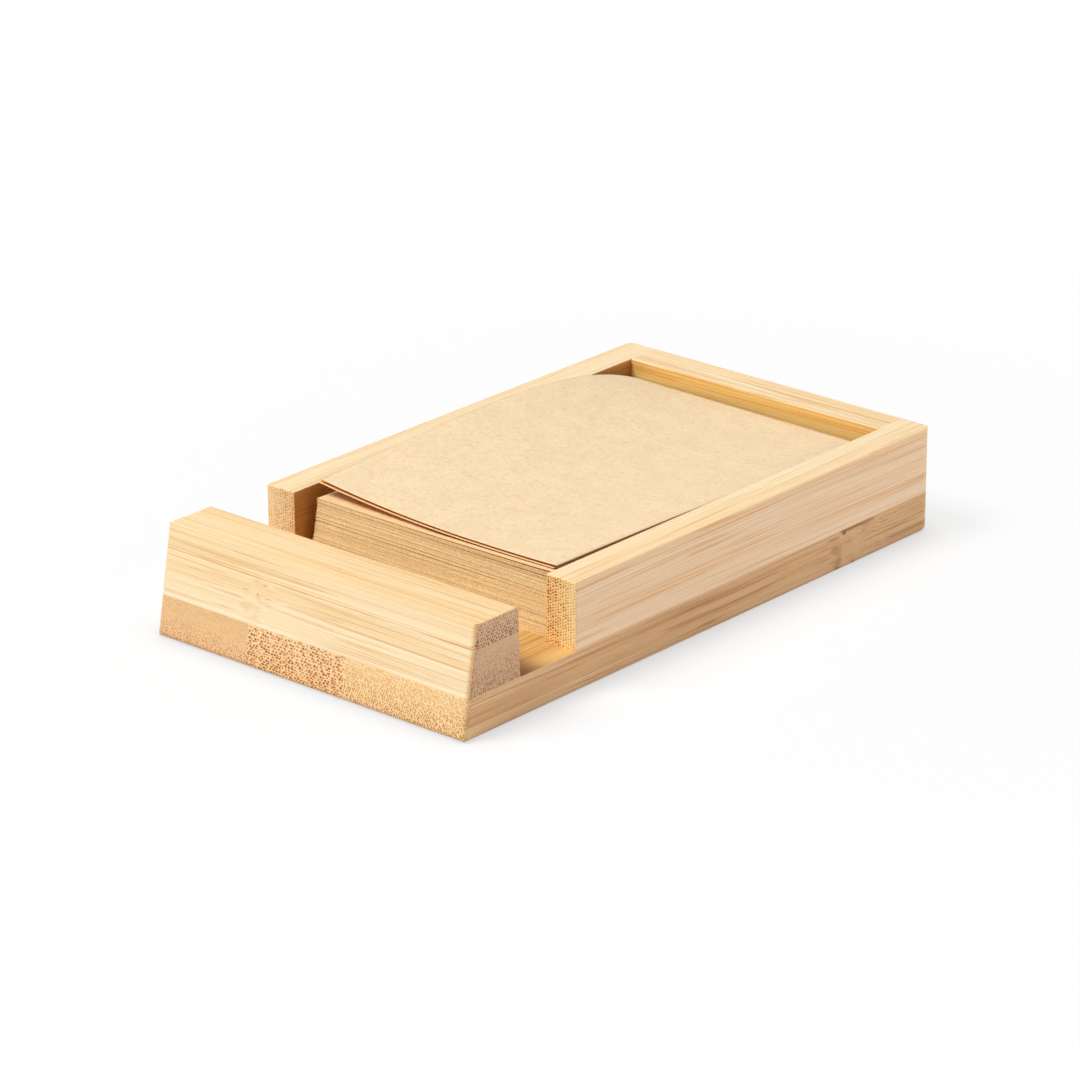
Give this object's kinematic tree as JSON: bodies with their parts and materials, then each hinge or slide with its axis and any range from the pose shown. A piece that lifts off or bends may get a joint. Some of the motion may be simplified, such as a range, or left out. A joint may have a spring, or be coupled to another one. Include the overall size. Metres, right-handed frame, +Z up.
{
  "type": "memo pad holder with phone slot",
  "caption": "Low bamboo tray that holds a stack of loose note sheets between three walls, with a leaning front lip and a full-width slot that stands a phone upright.",
  "frame": {"origin": "middle of the footprint, on the surface that the holder stands on", "axes": "+X to the right as seen from the front lip, +Y from the front lip to the rear wall, +Z up"},
  "size_m": [0.1, 0.1789, 0.0329],
  "materials": {
    "bamboo_base": "laminated bamboo board, clear satin varnish",
    "bamboo_lip": "pale bamboo with end grain at its ends, clear satin varnish",
    "bamboo_wall": "pale bamboo, clear satin varnish",
    "kraft_paper": "uncoated brown kraft paper"
  },
  "bodies": {
    "holder": {"base_left_strip": "bamboo_base", "base_right_strip": "bamboo_base", "base_lamina_1": "bamboo_base", "base_lamina_2": "bamboo_base", "base_lamina_3": "bamboo_base", "base_lamina_4": "bamboo_base", "base_lamina_5": "bamboo_base", "base_lamina_6": "bamboo_base", "base_lamina_7": "bamboo_base", "base_lamina_8": "bamboo_base", "lip_lower_ply": "bamboo_lip", "lip_upper_ply": "bamboo_lip", "left_wall": "bamboo_wall", "right_wall": "bamboo_wall", "rear_wall": "bamboo_wall"},
    "note_stack": {"note_stack": "kraft_paper"},
    "fanned_sheets": {"fanned_sheets": "kraft_paper"},
    "second_sheet": {"second_sheet": "kraft_paper"},
    "top_sheet": {"top_sheet": "kraft_paper"}
  },
  "joints": [
    {"name": "stack_lift", "type": "slide", "parent": "holder", "child": "note_stack", "axis": [0, 0, 1], "range_m": [0, 0.03]},
    {"name": "fan_lift", "type": "slide", "parent": "note_stack", "child": "fanned_sheets", "axis": [0, 0, 1], "range_m": [0, 0.03]},
    {"name": "second_sheet_lift", "type": "slide", "parent": "fanned_sheets", "child": "second_sheet", "axis": [0, 0, 1], "range_m": [0, 0.03]},
    {"name": "top_sheet_lift", "type": "slide", "parent": "second_sheet", "child": "top_sheet", "axis": [0, 0, 1], "range_m": [0, 0.03]}
  ]
}
